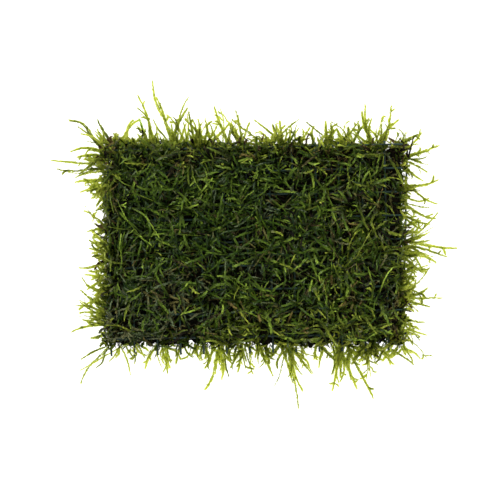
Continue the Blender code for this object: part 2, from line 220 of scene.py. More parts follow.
# How high the start, the control and the end are: of a long frond above the others' tips, and of a
# lone stem above the ground.
LONG_FROND_COVER = (-0.0015, 0.0039, 0.0024)
LONE_STEM_HEIGHTS = (0.0080, 0.0095, 0.0090)

# The photograph's frame: 500 pixels of 0.55 mm, with the body's middle at this pixel.
PHOTO_SIZE = 500
PHOTO_MM_PER_PIXEL = 0.55
BODY_CENTRE_PIXEL = (254.5, 247.5)
CAMERA_HEIGHT = 0.95
SENSOR_WIDTH = 36.0

# Tones of moss, which are places along the colour ramp of the frond materials.
TONE_BLACK = 0.05
TONE_BROWN = 0.13
TONE_TAN = 0.21
TONE_OLIVE = 0.30
TONE_PALE = 0.37
TONE_BLUISH = 0.44
TONE_DARK = 0.53
TONE_GREEN = 0.63
TONE_FRESH = 0.75
TONE_BRIGHT = 0.86
TONE_YELLOW = 0.96
LIVING_TONES = 0.49
COOL_TINT = (0.88, 1.00, 1.0)
WARM_TINT = (1.06, 1.00, 0.95)

TONE_COLOURS = (
    (0.00, (0.004, 0.003, 0.003)),
    (TONE_BLACK, (0.008, 0.007, 0.005)),
    (TONE_BROWN, (0.052, 0.034, 0.015)),
    (TONE_TAN, (0.250, 0.205, 0.065)),
    (TONE_OLIVE, (0.050, 0.054, 0.010)),
    (TONE_PALE, (0.205, 0.235, 0.125)),
    (TONE_BLUISH, (0.013, 0.037, 0.016)),
    (TONE_DARK, (0.020, 0.044, 0.004)),
    (TONE_GREEN, (0.053, 0.099, 0.006)),
    (TONE_FRESH, (0.155, 0.220, 0.026)),
    (TONE_BRIGHT, (0.420, 0.535, 0.068)),
    (TONE_YELLOW, (0.560, 0.680, 0.105)),
)

# The kinds of frond on the front: a tone, how far it varies, and the kind's share on the left of
# the mat, on its right, in old patches and in the bluish lower left corner.
KINDS = np.array(
    [
        (TONE_BLACK, 0.015, 0.03, 0.03, 0.16, 0.06),
        (TONE_BROWN, 0.020, 0.01, 0.03, 0.17, 0.03),
        (TONE_TAN, 0.015, 0.01, 0.02, 0.06, 0.02),
        (TONE_OLIVE, 0.020, 0.03, 0.09, 0.34, 0.06),
        (TONE_PALE, 0.012, 0.03, 0.03, 0.04, 0.34),
        (TONE_BLUISH, 0.012, 0.10, 0.04, 0.04, 0.26),
        (TONE_DARK, 0.025, 0.38, 0.25, 0.08, 0.18),
        (TONE_GREEN, 0.030, 0.32, 0.33, 0.08, 0.11),
        (TONE_FRESH, 0.030, 0.10, 0.12, 0.03, 0.04),
        (TONE_BRIGHT, 0.025, 0.01, 0.02, 0.01, 0.01),
    ]
)

# A leaf of a common frond: its size and form, how it lies on the stem, and how leaves vary. Then
# the fewest and the most leaves of a frond.
LEAF_LENGTH = 0.00150
LEAF_WIDTH = 0.00054
LEAF_KEEL = 0.35
LEAF_BROADEST = 0.42
LEAF_DROOP = 0.05
LEAF_SPREAD_AT_ROOT = math.radians(18)
LEAF_SPREAD_AT_TIP = math.radians(8)
LEAF_SPREAD_VARIES = (0.75, 1.3)
LEAF_SIZE_VARIES = (0.85, 1.15)
LEAF_TONE_VARIES = 0.042
LEAF_ROLL = 0.35
FROND_ROLL = 0.70
LEAF_COUNTS = (5, 90)

# Steps of tone at a leaf's base, left, tip and right, and around a stem.
LEAF_TONES = np.array([-0.045, 0.0, 0.025, -0.004])
STEM_TONES = np.array([-0.004, 0.0, 0.004])

# A direction that no frond has, which gives each frond its sides.
NEARLY_UP = np.array([0.05, 0.02, 1.0])

# The stem, and two forms of frond: how far apart their leaves sit, and how wide the leaves spread,
# how broad they are and how stout the stem is against a common frond's.
STEM_RADIUS = 0.00020
STEM_SEGMENTS = 4
COMMON_FORM = {"spacing": 0.00044, "spreading": 1.0, "breadth": 1.0, "stoutness": 1.0}
FRINGE_FORM = {"spacing": 0.00028, "spreading": 1.05, "breadth": 1.5, "stoutness": 0.7}

# How many fronds the front has, how they stand in a tuft, and how far common ones reach. Then the
# short fringe, how wide a glimpse of wire is, the share of fronds that still cover it, and the
# lowest place of any frond.
TUFT_FRONDS = 27
FORKED_SHARE = 0.30
SMALL_TUFTS = 130
SMALL_TUFT_FRONDS = 12
TUFT_SPREAD = 0.0036
TUFT_LEAN = 0.0028
LAWN_REACH = 0.0068
RUNNERS = 330
FRINGE_TUFTS_PER_METRE = 160
SHORT_FRINGE_REACH = 0.0036
GLIMPSE_WIDTH = 0.0026
GLIMPSE_COVER = 0.08
LOWEST = 0.1 * MM
SEED = 7

# Fronds scattered over the body: how many, how far within its border they are rooted, and the
# ranges of their reach, of their tip's height, of how much higher they arch, and of their root's
# height. Under the back sheet, the height of the arch itself takes the place of its rise.
FILLERS = (1500, 0.0, (0.002, 0.0065), (0.0065, 0.0098), (0.0, 0.0018), (0.0050, 0.0066))
OLD_FRONDS = (1100, 0.001, (0.004, 0.012), (0.0055, 0.0085), (0.0, 0.0020), (0.0050, 0.0070))
BARE_STEMS = (750, -0.001, (0.006, 0.020), (0.003, 0.0085), (-0.001, 0.003), (0.003, 0.008))
UNDERSIDE = (1000, 0.002, (0.003, 0.010), (0.0006, 0.0014), (0.0006, 0.0016), (0.0020, 0.0034))


# Small helpers


def spun(vectors, angles):
    """Vectors turned about the vertical by these angles."""
    cosine, sine = np.cos(angles), np.sin(angles)
    x, y, z = np.moveaxis(vectors, -1, 0)
    return np.stack([x * cosine - y * sine, x * sine + y * cosine, z], axis=-1)


def on_sheet(sheet, places):
    """Turns places on a sheet into places in the row frame."""
    return spun(np.array(places), sheet["turn"]) + np.array(BODY_CENTRE + sheet["centre"])


def stepped(x, y, angle, reach):
    """Places this far from x and y, at these angles."""
    return x + np.cos(angle) * reach, y + np.sin(angle) * reach


def spaced(count, pitch):
    return [(index - (count - 1) / 2) * pitch for index in range(count)]


def smoothstep(low, high, values):
    share = np.clip((values - low) / (high - low), 0, 1)
    return share * share * (3 - 2 * share)


def unit(vectors):
    return vectors / np.maximum(np.linalg.norm(vectors, axis=-1, keepdims=True), 1e-12)


def ripples(seed, wavelength, count=7):
    """A smooth random field over the mat, about -1 to 1, made of a few sine waves."""
    rng = np.random.default_rng(seed)
    angle = rng.uniform(0, 2 * np.pi, count)
    waves = 2 * np.pi / (wavelength * rng.uniform(0.7, 1.6, count))
    phase = rng.uniform(0, 2 * np.pi, count)

    def field(x, y):
        total = 0
        for a, k, p in zip(angle, waves, phase):
            total = total + np.sin(k * (x * np.cos(a) + y * np.sin(a)) + p)
        return total / math.sqrt(count)

    return field


def quads(a, b, c, d):
    """Two triangles for each face with these four corners, which are arrays of point numbers."""
    return np.concatenate([np.stack(three, -1).reshape(-1, 3) for three in ((a, b, c), (a, c, d))])


def tubes(places, side, lift, radius, sides):
    """Points and triangles of open tubes along places (N, K, 3), and the points' numbers."""
    angles = np.arange(sides) * 2 * np.pi / sides
    rings = [places + radius * (math.cos(a) * side + math.sin(a) * lift) for a in angles]
    points = np.stack(rings, axis=2).reshape(-1, 3)
    index = np.arange(len(points)).reshape(*places.shape[:2], sides)
    here, there = index[:, :-1], index[:, 1:]
    faces = quads(here, np.roll(here, -1, axis=2), np.roll(there, -1, axis=2), there)
    return points, faces, index


def joined(parts):
    """The points and the triangles of all parts, as one array each."""
    starts = np.cumsum([0] + [len(part[0]) for part in parts])
    triangles = [part[1] + start for part, start in zip(parts, starts)]
    return np.concatenate([part[0] for part in parts]), np.concatenate(triangles)


def make_piece(name, node, slot, material, points, triangles, maps=None):
    """A piece of points (N, 3), triangles (M, 3) and, if given, map places (N, 2)."""
    mesh = bpy.data.meshes.new(name)
    mesh.from_pydata(points, [], triangles, shade_flat=False)
    if maps is not None:
        mesh.uv_layers.new(name="OFBake").data.foreach_set("uv", maps[triangles].ravel())
    mesh.materials.append(material)
    thing = bpy.data.objects.new(name, mesh)
    bpy.context.scene.collection.objects.link(thing)
    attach(thing, "root")
    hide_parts(node)


# Fronds


class Fronds:
    """Many fronds: for each a root, a control point, a tip, a sway, a width and a tone.

    The sway is how far the lower half of a frond leans one way and its upper half the other way.
    """

    def __init__(self, *parts):
        self.parts = list(parts)

    def add(self, routes, widths, tones, rng, swaying=0.035):
        """Adds fronds with these routes. Widths are numbers, or a range to draw them from."""
        roots, _, tips = routes
        count = len(roots)
        if isinstance(widths, tuple):
            widths = rng.uniform(*widths, count)
        length = np.linalg.norm(tips - roots, axis=1, keepdims=True)
        sway = rng.normal(0, swaying, (count, 3)) * length
        numbers = (np.broadcast_to(values, (count,)) for values in (widths, tones))
        self.parts.append((*routes, sway, *numbers))
        return self

    def arrays(self):
        return [np.concatenate(column) for column in zip(*self.parts)]

    def chosen(self, which):
        """Some of the fronds, as a new group."""
        return Fronds([values[which] for values in self.arrays()])


def curves(routes, shares):
    """Places and directions on the fronds, (N, K, 3), for (K,) shares of their length."""
    t = shares[None, :, None]
    a, b, c, sway = (values[:, None] for values in routes)
    places = (1 - t) ** 2 * a + 2 * t * (1 - t) * b + t**2 * c + np.sin(2 * np.pi * t) * sway
    turning = 2 * np.pi * np.cos(2 * np.pi * t) * sway
    ways = unit(2 * (1 - t) * (b - a) + 2 * t * (c - b) + turning)
    return places, ways


def across(ways):
    """Two directions square to each direction: one nearly level, and one that leans up."""
    side = unit(np.cross(ways, NEARLY_UP))
    return side, np.cross(side, ways)


def map_places(tones, along, warm):
    """Warm fronds have the upper half of the map and cool ones the lower, root to tip in each."""
    height = 0.5 * np.clip(along, 0.01, 0.99) + 0.5 * warm[:, None, None]
    return np.stack(np.broadcast_arrays(tones, height), axis=3).reshape(-1, 2)


def leaf_parts(routes, widths, tones, warm, count, form, rng):
    """Points, triangles and map places of all leaves of fronds that have so many leaves each.

    The leaves lie in two rows, left and right of the stem, so that a frond is a flat blade. The
    blade is widest at its middle, and blunt at both ends.
    """
    all_leaves = (len(widths), count)
    shares = (np.arange(count) + 0.6) / count
    places, ways = curves(routes, shares)
    side, lift = across(ways)
    roll = rng.normal(0, FROND_ROLL, (len(widths), 1)) + rng.normal(0, LEAF_ROLL, all_leaves)
    roll = roll[..., None]
    row = np.where(np.arange(count) % 2, -1, 1)[:, None]
    flat = (np.cos(roll) * side + np.sin(roll) * lift) * row
    face = np.cos(roll) * lift - np.sin(roll) * side
    spread = LEAF_SPREAD_AT_ROOT + (LEAF_SPREAD_AT_TIP - LEAF_SPREAD_AT_ROOT) * shares**2
    spread = form["spreading"] * spread * rng.uniform(*LEAF_SPREAD_VARIES, all_leaves)
    spread = spread[..., None]
    way = np.cos(spread) * ways + np.sin(spread) * flat
    edge = np.sin(spread) * ways - np.cos(spread) * flat
    blade = 0.58 + 0.42 * np.sin(np.pi * (shares * 0.78 + 0.10))
    size = blade * widths[:, None] * rng.uniform(*LEAF_SIZE_VARIES, all_leaves)
    size = size[..., None]
    length, half = LEAF_LENGTH * size, LEAF_WIDTH / 2 * form["breadth"] * size
    base = places + flat * STEM_RADIUS * 0.6 * size
    broad = base + way * length * LEAF_BROADEST - face * half * LEAF_KEEL
    tip = base + way * length - face * length * LEAF_DROOP
    points = np.stack([base, broad + edge * half, tip, broad - edge * half], axis=2).reshape(-1, 3)
    first = 4 * np.arange(len(widths) * count)[:, None]
    triangles = np.stack([first + [0, 3, 2], first + [0, 2, 1]], axis=1).reshape(-1, 3)
    tone = tones[:, None] + rng.normal(0, LEAF_TONE_VARIES, all_leaves)
    along = shares[:, None] + 0.9 / count * np.array([0, 0.4, 1, 0.4])
    return points, triangles, map_places(tone[..., None] + LEAF_TONES, along, warm)


def stem_parts(routes, widths, tones, warm, form):
    """Points, triangles and map places of thin three-sided stems that taper to their tips."""
    shares = np.linspace(0, 1, STEM_SEGMENTS + 1)
    places, ways = curves(routes, shares)
    taper = 1.0 - 0.55 * shares[:, None] ** 2
    radius = STEM_RADIUS * form["stoutness"] * widths[:, None, None] * taper
    points, triangles, _ = tubes(places, *across(ways), radius, sides=3)
    return points, triangles, map_places(tones[:, None, None] + STEM_TONES, shares[:, None], warm)


def make_fronds(name, material, fronds, form=COMMON_FORM, leaves=True):
    """One piece of all these fronds. Its first two take the tones at both ends of the map."""
    rng = np.random.default_rng(len(name) + SEED)
    *routes, widths, tones = fronds.arrays()
    roots, middles, tips, _ = routes
    warm = rng.random(len(tones)) < warmth(tips[:, 0], tips[:, 1])
    tones[:2] = TONE_BLACK, TONE_YELLOW
    warm[:2] = True, False
    length = np.linalg.norm(middles - roots, axis=1) + np.linalg.norm(tips - middles, axis=1)
    parts = [stem_parts(routes, widths, tones, warm, form)]
    if leaves:
        counts = np.clip(np.round(length / (form["spacing"] * widths)), *LEAF_COUNTS).astype(int)
        for count in np.unique(counts):
            alike = [values[counts == count] for values in (*routes, widths, tones, warm)]
            parts.append(leaf_parts(alike[:4], *alike[4:], count, form, rng))
    points, triangles = joined(parts)
    points[:, 2] = np.maximum(points[:, 2], LOWEST)
    maps = np.clip(np.concatenate([part[2] for part in parts]), 0.002, 0.998)
    make_piece(name, "moss_mat", "moss", material, points, triangles, maps)


# How the moss grows

lushness = ripples(3, 0.045)
clumps = ripples(5, 0.012)


def place_on_body(x, y):
    """How far a place is to the right and up from the body's centre: each is 1 at the edge."""
    right = (x - BODY_CENTRE.x) / (BODY_LENGTH / 2)
    up = (y - BODY_CENTRE.y) / (BODY_WIDTH / 2)
    return right, up


def body_places(rng, count, inset=0.001):
    """Random places over the body, as arrays of x and y."""
    x = BODY_CENTRE.x + rng.uniform(-0.5, 0.5, count) * (BODY_LENGTH - 2 * inset)
    y = BODY_CENTRE.y + rng.uniform(-0.5, 0.5, count) * (BODY_WIDTH - 2 * inset)
    return x, y


def nearness(patches, x, y):
    """From 0, outside all of these patches, to 1 inside one."""
    nearest = np.zeros(np.shape(x))
    for centre_x, centre_y, radius in patches:
        across_x = x - BODY_CENTRE.x - centre_x * MM
        across_y = y - BODY_CENTRE.y - centre_y * MM
        share = np.hypot(across_x, across_y) / (radius * MM)
        nearest = np.maximum(nearest, 1 - smoothstep(0.5, 1.3, share))
    return nearest


def vigour(x, y):
    """From 0, bare, to 1, lush: the left and the middle are lush, and the right is less so."""
    right, _ = place_on_body(x, y)
    growth = 0.82 - 0.18 * smoothstep(0.0, 0.9, right) + 0.12 * lushness(x, y)
    growth = growth - 0.62 * nearness(PITS, x, y)
    return np.clip(growth, 0.05, 1)


def warmth(x, y):
    """How likely a frond is yellowish: most are, near the edges and at the bottom and right."""
    right, up = place_on_body(x, y)
    rim = np.maximum(smoothstep(0.72, 0.98, np.abs(up)), smoothstep(0.82, 0.99, np.abs(right)))
    low = 0.75 * smoothstep(0.25, 0.80, -up) * smoothstep(-0.9, -0.1, right)
    to_right = 0.50 * smoothstep(-0.1, 0.8, right)
    likely = np.maximum(low, to_right) + 0.15 * lushness(x + 0.1, y)
    return np.clip(np.maximum(likely, rim), 0.08, 1.0)


def bluishness(x, y):
    """The share of pale and bluish moss, which grows in the lower left corner."""
    right, up = place_on_body(x, y)
    return 0.85 * smoothstep(0.15, 0.55, -right) * smoothstep(0.0, 0.55, -up)


def surface(x, y):
    """The height at which tips of the front's fronds end."""
    return 0.0080 + 0.0042 * vigour(x, y) + 0.0008 * clumps(x, y)


def pick_tones(x, y, rng):
    """Tones of fronds by their place on the front, by the shares of the kinds there."""
    right, up = place_on_body(x, y)
    tone, spread, left_share, right_share, old_share, bluish_share = KINDS.T
    to_right = smoothstep(-0.3, 0.8, right)[:, None]
    old = 0.85 * nearness(OLD_PATCHES, x, y)[:, None]
    bluish = bluishness(x, y)[:, None]
    shares = left_share + (right_share - left_share) * to_right
    shares = shares + (bluish_share - shares) * bluish
    shares = shares + (old_share - shares) * old
    heap = np.cumsum(shares, axis=1)
    kind = (rng.random((len(x), 1)) * heap[:, -1:] > heap).sum(axis=1)
    tones = rng.normal(tone[kind], spread[kind])
    rim = np.maximum(smoothstep(0.78, 1.0, np.abs(up)), smoothstep(0.86, 1.0, np.abs(right)))
    low = 1.35 * smoothstep(0.25, 0.9, -up) * smoothstep(-0.6, 0.0, right)
    top_right = 0.3 * smoothstep(0.1, 0.6, up) * smoothstep(0.2, 0.7, right)
    brighter = np.maximum.reduce([rim, low, top_right])
    return tones + 0.09 * brighter * (tones > LIVING_TONES)


def parted(fronds, rng):
    """Leaves out most fronds that would cover the lengths of wire that show."""
    places = curves(fronds.arrays()[:4], np.array([0.2, 0.4, 0.6, 0.8, 1.0]))[0]
    middle = BODY_CENTRE + FRONT_SHEET["centre"]
    along, up, _ = np.moveaxis(spun(places - np.array(middle), -FRONT_SHEET["turn"]), -1, 0)
    rows = spaced(FRONT_SHEET["rows"], ROW_PITCH)
    covers = np.zeros(len(places), dtype=bool)
    for row, left, right in WIRE_GLIMPSES:
        near = np.abs(up - rows[row]) < GLIMPSE_WIDTH / 2
        beside = (along > left * MM - middle.x) & (along < right * MM - middle.x)
        covers |= (near & beside).any(axis=1)
    return fronds.chosen(~covers | (rng.random(len(covers)) < GLIMPSE_COVER))


def top_rise(x):
    """How much higher the moss reaches towards the left, up to the back sheet's sloping top row."""
    return TOP_LEFT_RISE * np.clip(0.5 - x / BODY_LENGTH, 0, 1)


def held_in(routes, rng, looseness=1.0, allowance=0.0):
    """Turns back fronds that would lean out beyond the lawn's edges and what is allowed there."""
    root, middle, tip = routes
    beyond = rng.normal(0, LAWN_SLACK, (len(tip), 2)) * looseness + allowance
    beyond[:, 1] += top_rise(tip[:, 0]) * (tip[:, 1] > BODY_CENTRE.y)
    low = np.array([LAWN_EDGES["left"], LAWN_EDGES["bottom"]]) + BODY_CENTRE[:2] - beyond
    high = np.array([LAWN_EDGES["right"], LAWN_EDGES["top"]]) + BODY_CENTRE[:2] + beyond
    back = rng.uniform(1.0, 1.7, (len(tip), 1))
    for places in (middle, tip):
        places[:, :2] += back * np.maximum(low - places[:, :2], 0)
        places[:, :2] -= back * np.maximum(places[:, :2] - high, 0)
    return root, middle, tip


def arched(x, y, angle, reach, root_z, tip_z, top_z, rng, bending=0.35):
    """Roots, controls and tips of fronds that rise at x, y and arch over to their tips."""
    bend = angle + rng.normal(0, bending, len(x))
    halfway = reach * rng.uniform(0.25, 0.6, len(x))
    root = np.column_stack([x, y, root_z])
    middle = np.column_stack([*stepped(x, y, bend, halfway), top_z])
    tip = np.column_stack([*stepped(x, y, angle, reach), tip_z])
    return root, middle, tip


def crown_growth(x):
    """How well the solids' tufts grow at a place along the body: less so towards the right."""
    return 1.0 - THINNING_TO_RIGHT * max(0.0, x / (BODY_LENGTH / 2))


def crowns():
    """The tops of the tufts on the front sheet, as the solids have them."""
    chance = random.Random(CROWN_SEED)
    lowest, highest = TUFT_CROWN_HEIGHT
    found = []
    for y in spaced(FRONT_SHEET["rows"], ROW_PITCH)[:-1]:
        for x in spaced(FRONT_SHEET["columns"], COLUMN_PITCH)[:-1]:
            centre = Vector((x + COLUMN_PITCH / 2, y + ROW_PITCH / 2, 0))
            drift_x = chance.uniform(-TUFT_CROWN_DRIFT, TUFT_CROWN_DRIFT)
            drift_y = chance.uniform(-TUFT_CROWN_DRIFT, TUFT_CROWN_DRIFT)
            height = lowest + (highest - lowest) * (crown_growth(centre.x) * chance.random())
            found.append(centre + Vector((drift_x, drift_y, height)))
    return found


def through(root, middle, tip, share):
    """Roots, controls and tips of curves through middles that lie at that share of the curve."""
    rest = 1 - share
    return root, (middle - rest**2 * root - share**2 * tip) / (2 * share * rest), tip


def leaning_fronds():
    """Roots, controls and tips of fronds that lean out of the tufts, as the solids have them."""
    chance = random.Random(LEANING_SEED)
    routes = []
    for crown in crowns():
        if chance.random() < LEANING_SHARE * crown_growth(crown.x):
            angle = chance.uniform(0, 2 * math.pi)
            length = chance.uniform(*LEANING_LENGTH)
            rise = Vector((0, 0, chance.uniform(*LEANING_RISE)))
            lean = Vector((math.cos(angle), math.sin(angle), 0)) * length
            root = crown - Vector((0, 0, FROND_RADIUS))
            routes.append((root, root + lean * 0.5 + rise * 0.7, root + lean + rise))
    return through(*(on_sheet(FRONT_SHEET, places) for places in zip(*routes)), 0.5)


def bowed(table):
    """Starts, controls and ends of fronds seen from above, as a table in millimetres has them."""
    table = np.array(table) * MM
    start, end, bow = table[:, :2], table[:, 2:4], table[:, 4:5]
    way = end - start
    left = unit(np.column_stack([-way[:, 1], way[:, 0]]))
    halfway = (start + end) / 2 + 2 * bow * left
    return [place + np.array(BODY_CENTRE)[:2] for place in (start, halfway, end)]


def tufts(rng):
    """The centres of the front's tufts (N, 2), and how many fronds grow from each."""
    full = on_sheet(FRONT_SHEET, crowns())[:, :2]
    small = np.column_stack(body_places(rng, SMALL_TUFTS))
    centre = np.concatenate([full, small])
    size = np.repeat([TUFT_FRONDS, SMALL_TUFT_FRONDS], [len(full), len(small)])
    return centre, rng.poisson(size * vigour(*centre.T) * rng.uniform(0.75, 1.3, len(size)))


def lawn_fronds(rng):
    """Fronds that grow out of the tufts, up through the front sheet, and arch over it."""
    centre, count = tufts(rng)
    tuft = np.repeat(np.arange(len(centre)), count)
    total = len(tuft)
    lean = rng.normal(0, TUFT_LEAN, (len(centre), 2))[tuft]
    lift, ageing = (rng.normal(0, spread, len(centre))[tuft] for spread in (0.0011, 0.022))
    angle = rng.uniform(0, 2 * np.pi, total)
    away = rng.uniform(0.0002, TUFT_SPREAD, total)
    x, y = stepped(*centre[tuft].T, angle, away)
    larger = 1 + 0.17 * smoothstep(-0.1, 0.6, place_on_body(x, y)[0])
    reach = np.clip(rng.lognormal(math.log(LAWN_REACH), 0.42, total), 0.0018, 0.017) * larger
    way = np.column_stack([np.cos(angle), np.sin(angle)]) + rng.normal(0, 0.45, (total, 2))
    step_x, step_y = (way * reach[:, None] + lean * (reach / LAWN_REACH)[:, None]).T
    tip_z = surface(x + step_x, y + step_y) + lift + rng.normal(0, 0.0012, total)
    top_z = np.maximum(tip_z, surface(x, y)) + rng.uniform(-0.0005, 0.0026, total)
    root_z = rng.uniform(0.0045, 0.0070, total)
    angle, reach = np.arctan2(step_y, step_x), np.hypot(step_x, step_y)
    routes = held_in(arched(x, y, angle, reach, root_z, tip_z, top_z, rng, bending=0.27), rng)
    width = np.clip(rng.normal(0.86, 0.20, total), 0.5, 1.4) * larger
    tones = pick_tones(x, y, rng) + ageing
    fronds = Fronds().add(routes, width, tones, rng, swaying=0.022)
    forked = rng.random(total) < FORKED_SHARE
    shoots, owner = side_shoots(*(places[forked] for places in routes), 1, rng)
    shoot_width = width[forked][owner] * rng.uniform(0.7, 1.0, len(owner))
    return fronds.add(shoots, shoot_width, tones[forked][owner], rng, swaying=0.02)


def runners(rng):
    """Long fronds that lie over the others: the solids' own, those seen singly, and more."""
    routes = leaning_fronds()
    tones = np.clip(rng.normal(TONE_GREEN + 0.05, 0.05, len(routes[0])), TONE_DARK, TONE_BRIGHT)
    fronds = Fronds().add(routes, (1.1, 1.5), tones, rng, swaying=0.03)

    seen = LONG_FRONDS + TAN_FRONDS
    routes = [
        np.column_stack([place, surface(*place.T) + cover])
        for place, cover in zip(bowed(seen), LONG_FROND_COVER)
    ]
    tones = rng.normal(TONE_FRESH - 0.01, 0.03, len(seen))
    tones[len(LONG_FRONDS) :] = TONE_TAN
    fronds.add(routes, (1.15, 1.5), tones, rng, swaying=0.02)

    x, y = body_places(rng, 3 * RUNNERS)
    grows = np.flatnonzero(rng.random(len(x)) < vigour(x, y))[:RUNNERS]
    x, y = x[grows], y[grows]
    count = len(x)
    angle = rng.uniform(0, 2 * np.pi, count)
    reach = rng.uniform(0.008, 0.016, count)
    tip_z = surface(*stepped(x, y, angle, reach)) + rng.uniform(0.0002, 0.0018, count)
    top_z = np.maximum(tip_z, surface(x, y)) + rng.uniform(0.0004, 0.0024, count)
    routes = held_in(arched(x, y, angle, reach, surface(x, y) - 0.003, tip_z, top_z, rng), rng)
    tones = np.clip(rng.normal(TONE_GREEN + 0.02, 0.06, count), TONE_DARK, TONE_BRIGHT)
    pale = rng.random(count) < 0.5 * bluishness(x, y)
    tones = np.where(pale, TONE_PALE + 0.02, tones)
    return fronds.add(routes, (0.9, 1.35), tones, rng, swaying=0.025)


def edge_fronds(rng):
    """Fronds of the front that lean out over the felt's border."""
    fronds = Fronds()
    for _, _, along, outward, _, per_metre, common_reach in SIDES:
        length, step, out, middle = side_frame(along, outward)
        count = int(per_metre * length)
        place = rng.uniform(-0.5, 0.5, count) * length
        inside = rng.uniform(0.0010, 0.0060, count)
        x, y, _ = (middle + step * place[:, None] - out * inside[:, None]).T
        y = y + 0.6 * top_rise(x) * (out[1] > 0.5)
        angle = math.atan2(out[1], out[0]) + rng.normal(0, 0.8, count)
        reach = rng.lognormal(math.log(common_reach), 0.4, count)
        reach = np.clip(reach, 0.002, 1.8 * common_reach)
        tip_z = rng.uniform(0.0065, 0.0110, count)
        top_z = tip_z + rng.uniform(0.0, 0.0025, count)
        root_z = rng.uniform(0.0042, 0.0065, count)
        routes = arched(x, y, angle, reach, root_z, tip_z, top_z, rng)
        routes = held_in(routes, rng, looseness=1.5, allowance=0.4 * common_reach)
        tones = pick_tones(x, y, rng)
        # Most edge fronds are made lighter green: partly fresh moss at the border and partly
        # painted light, as if lit through from behind.
        living = (tones > TONE_BLUISH) | (rng.random(count) < 0.75)
        tones = np.where(living, np.maximum(tones + 0.13, TONE_GREEN + 0.03), tones)
        fronds.add(routes, (0.8, 1.3), tones, rng, swaying=0.05)
    return fronds


def side_frame(along, outward):
    """A side's length, the way along it, the way out of it and its middle."""
    length = BODY_LENGTH if along == RIGHTWARD else BODY_WIDTH
    return length, np.array(along), np.array(outward.normalized()), np.array(BODY_CENTRE + outward)


def fringe_route(frond, along, outward, chance):
    """The route of one fringe frond, as the solids have it."""
    root, tip, reach, bow = (value * MM for value in frond)
    root_height = chance.uniform(*FRINGE_ROOT_HEIGHT)
    tip_height = chance.uniform(*FRINGE_TIP_HEIGHT)
    if reach < FRINGE_SHORT:
        tip_height = root_height
    route = []
    for share in (0.0, FRINGE_LEVEL_SHARE, 1.0):
        out = (reach + FRINGE_ROOT_DEPTH) * share - FRINGE_ROOT_DEPTH
        place = root + (tip - root) * share + 4 * bow * share * (1 - share)
        height = tip_height if share == 1.0 else root_height
        step = outward.normalized() * out + along * place + Vector((0, 0, height))
        route.append(BODY_CENTRE + outward + step)
    return route


def companions(root, middle, tip, each, rng):
    """Shorter fronds beside each of these, from about the same root."""
    owner = np.repeat(np.arange(len(root)), each)
    count = len(owner)
    size = rng.uniform(0.3, 0.85, count)[:, None]
    turn = rng.normal(0, 0.42, count)
    shift = rng.normal(0, 0.0012, (count, 3)) * [1, 1, 0.4]
    start = root[owner] + shift
    bend = start + spun((middle - root)[owner], turn * 0.6) * size
    end = start + spun((tip - root)[owner], turn) * size
    end[:, 2] = np.clip(end[:, 2], 0.001, 0.014)
    return start, bend, end


def side_shoots(root, middle, tip, each, rng):
    """Short fronds that fork off these, and the number of the frond that each is on."""
    owner = np.repeat(np.arange(len(root)), each)
    count = len(owner)
    t = rng.uniform(0.3, 0.9, count)[:, None]
    a, b, c = root[owner], middle[owner], tip[owner]
    start = (1 - t) ** 2 * a + 2 * t * (1 - t) * b + t**2 * c
    way = unit(2 * (1 - t) * (b - a) + 2 * t * (c - b))
    side, lift = across(way)
    flip = np.where(rng.random(count) < 0.5, -1, 1)[:, None]
    bend = rng.uniform(0.35, 0.9, count)[:, None]
    out = way * np.cos(bend) + side * flip * np.sin(bend) + lift * rng.normal(0, 0.2, (count, 1))
    out = unit(out)
    length = rng.uniform(0.0015, 0.0055, count)[:, None]
    return (start, start + (way + out) * length * 0.3, start + out * length), owner


def fringe_tones(rng, count, spread=0.06):
    return np.clip(rng.normal(TONE_BRIGHT + 0.02, spread, count), TONE_FRESH, TONE_YELLOW)


def fringe_fronds(rng):
    """The fronds of the solids' fringe and the wisps, with side shoots and shorter companions."""
    chance = random.Random(FRINGE_SEED)
    routes = [
        fringe_route(frond, side[2], side[3], chance)
        for kind in range(2)
        for side in SIDES
        for frond in side[kind]
    ]
    thick = sum(len(side[0]) for side in SIDES)
    routes = through(*(np.array(places) for places in zip(*routes)), FRINGE_LEVEL_SHARE)
    count = len(routes[0])
    tones = fringe_tones(rng, count, spread=0.045)
    width = np.clip(rng.normal(1.36, 0.16, count), 1.0, 1.7)
    width[thick:] *= 0.6
    fronds = Fronds().add(routes, width, tones, rng, swaying=0.015)
    shoots, owner = side_shoots(*routes, 2, rng)
    fronds.add(shoots, (0.8, 1.1), tones[owner] + rng.normal(0, 0.03, len(owner)), rng)
    beside = companions(*routes, 3, rng)
    return fronds.add(beside, (0.8, 1.2), fringe_tones(rng, len(beside[0])), rng, swaying=0.03)


